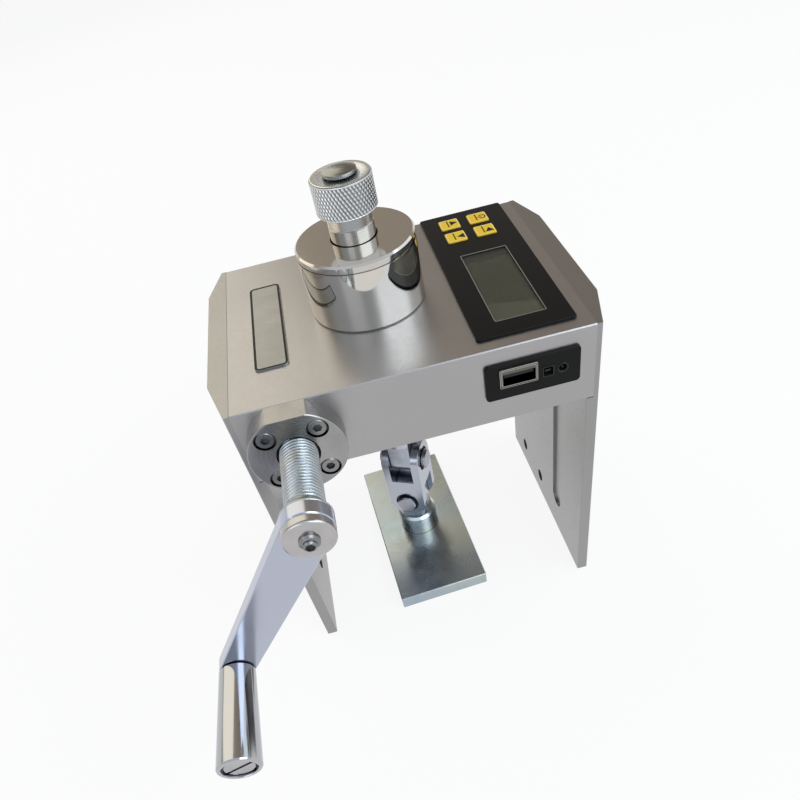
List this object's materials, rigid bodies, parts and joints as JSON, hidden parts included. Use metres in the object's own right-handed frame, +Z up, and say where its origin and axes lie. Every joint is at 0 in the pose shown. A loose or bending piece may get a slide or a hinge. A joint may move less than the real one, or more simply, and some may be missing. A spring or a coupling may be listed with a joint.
{
  "type": "pull-off bond strength tester",
  "caption": "Hand-cranked hydraulic pull-off bond tester: legs, body, loading cylinder, universal joint, standard block, crank pump and display.",
  "frame": {"origin": "on the pull axis, in the bonding face of the standard block, level with the feet", "axes": "+Z up along the pull axis, +Y to the rear, +X to the right as seen from the crank side"},
  "size_m": [0.1768, 0.1904, 0.198],
  "materials": {
    "body_aluminium": "satin anodised, fine grain",
    "leg_aluminium": "satin anodised, fine grain",
    "barrel_chrome": "mirror chrome",
    "lid_chrome": "mirror polish",
    "stem_steel": "ground and polished",
    "knurled_steel": "diamond knurl, bright",
    "cap_steel": "polished",
    "rod_steel": "plated thread",
    "joint_chrome": "bright chrome",
    "pin_steel": "bright turned",
    "clip_steel": "blackened spring steel",
    "stud_zinc": "bright zinc plate",
    "block_zinc": "mottled zinc plate",
    "flange_steel": "fine turned",
    "screw_steel": "bright zinc plate",
    "spindle_zinc": "zinc-plated thread",
    "crank_steel": "polished flat bar",
    "disc_steel": "turned",
    "grip_chrome": "mirror chrome",
    "bolt_steel": "turned",
    "panel_black": "semi-gloss black",
    "display_glass": "clear display cover",
    "display_case": "display module",
    "key_yellow": "satin yellow",
    "label_silver": "printed foil",
    "socket_steel": "plated sheet",
    "socket_plastic": "moulded",
    "seal_rubber": "nitrile",
    "spring_steel": "drawn wire",
    "ball_steel": "ground ball",
    "sensor_steel": "turned",
    "board_green": "solder mask",
    "post_brass": "turned",
    "cell_wrap": "shrink wrap"
  },
  "bodies": {
    "frame": {"body_block": "body_aluminium", "left_leg": "leg_aluminium", "right_leg": "leg_aluminium", "leg_screws": "screw_steel", "cylinder_barrel": "barrel_chrome", "barrel_seal": "seal_rubber", "cylinder_lid": "lid_chrome", "lid_wiper": "seal_rubber", "stem_seal": "seal_rubber", "return_spring": "spring_steel", "pump_flange": "flange_steel", "flange_seal": "seal_rubber", "flange_screws": "screw_steel", "gallery_plug": "screw_steel", "pressure_sensor": "sensor_steel", "fascia": "panel_black", "display_window": "display_glass", "display_module": "display_case", "key_switches": "socket_plastic", "main_board": "board_green", "board_posts": "post_brass", "board_screws": "screw_steel", "battery_cell": "cell_wrap", "port_board": "board_green", "port_panel": "panel_black", "usb_shell": "socket_steel", "usb_tongue": "socket_plastic", "service_socket": "socket_plastic", "charge_jack": "socket_plastic", "label_plate": "label_silver"},
    "plunger": {"pump_plunger": "stem_steel", "plunger_seal": "seal_rubber", "thrust_ball": "ball_steel"},
    "crank": {"pump_spindle": "spindle_zinc", "crank_arm": "crank_steel", "clamp_disc": "disc_steel", "crank_screw": "screw_steel", "handle_bolt": "bolt_steel"},
    "handle": {"handle_grip": "grip_chrome"},
    "piston": {"piston": "stem_steel", "piston_seal": "seal_rubber"},
    "nut": {"adjusting_nut": "knurled_steel", "nut_cap": "cap_steel"},
    "rod": {"pull_rod": "rod_steel"},
    "link": {"joint_link": "joint_chrome", "upper_pin": "pin_steel", "lower_pin": "pin_steel", "pin_clips": "clip_steel"},
    "block": {"coupling_stud": "stud_zinc", "standard_block": "block_zinc"},
    "enter_key": {"key_enter": "key_yellow"},
    "up_key": {"key_up": "key_yellow"},
    "power_key": {"key_power": "key_yellow"},
    "down_key": {"key_down": "key_yellow"}
  },
  "joints": [
    {"name": "plunger_advance", "type": "slide", "parent": "frame", "child": "plunger", "axis": [0, 1, 0], "range_m": [0, 0.0255]},
    {"name": "crank_turn", "type": "hinge", "parent": "plunger", "child": "crank", "pos_m": [-0.0387, -0.09, 0.1296], "axis": [0, 1, 0], "range_deg": [0, 6120]},
    {"name": "handle_spin", "type": "hinge", "parent": "crank", "child": "handle", "pos_m": [-0.08654, -0.118, 0.06128], "axis": [0, 1, 0], "continuous": true},
    {"name": "piston_lift", "type": "slide", "parent": "frame", "child": "piston", "axis": [0, 0, 1], "range_m": [0, 0.0032], "deforming": ["return_spring"]},
    {"name": "rod_adjust", "type": "slide", "parent": "piston", "child": "rod", "axis": [0, 0, 1], "range_m": [-0.003, 0.006]},
    {"name": "nut_turn", "type": "hinge", "parent": "piston", "child": "nut", "pos_m": [0, 0, 0.187], "axis": [0, 0, 1], "range_deg": [-1440, 720]},
    {"name": "link_swing", "type": "hinge", "parent": "rod", "child": "link", "pos_m": [0, 0, 0.0572], "axis": [0.891, -0.454, 0], "range_deg": [-20, 20]},
    {"name": "block_swing", "type": "hinge", "parent": "link", "child": "block", "pos_m": [0, 0, 0.033], "axis": [0.454, 0.891, 0], "range_deg": [-20, 20]},
    {"name": "key_enter_press", "type": "slide", "parent": "frame", "child": "enter_key", "axis": [0, 0, -1], "range_m": [0, 0.00035], "stiffness_N_per_m": 400, "springref_m": -0.0005},
    {"name": "key_up_press", "type": "slide", "parent": "frame", "child": "up_key", "axis": [0, 0, -1], "range_m": [0, 0.00035], "stiffness_N_per_m": 400, "springref_m": -0.0005},
    {"name": "key_power_press", "type": "slide", "parent": "frame", "child": "power_key", "axis": [0, 0, -1], "range_m": [0, 0.00035], "stiffness_N_per_m": 400, "springref_m": -0.0005},
    {"name": "key_down_press", "type": "slide", "parent": "frame", "child": "down_key", "axis": [0, 0, -1], "range_m": [0, 0.00035], "stiffness_N_per_m": 400, "springref_m": -0.0005}
  ],
  "couplings": [
    {"joint": "plunger_advance", "follows": "crank_turn", "m_per_rad": 0.00023873},
    {"joint": "piston_lift", "follows": "crank_turn", "m_per_rad": 0.000029764},
    {"joint": "nut_turn", "follows": "rod_adjust", "rad_per_m": -4188.8}
  ]
}
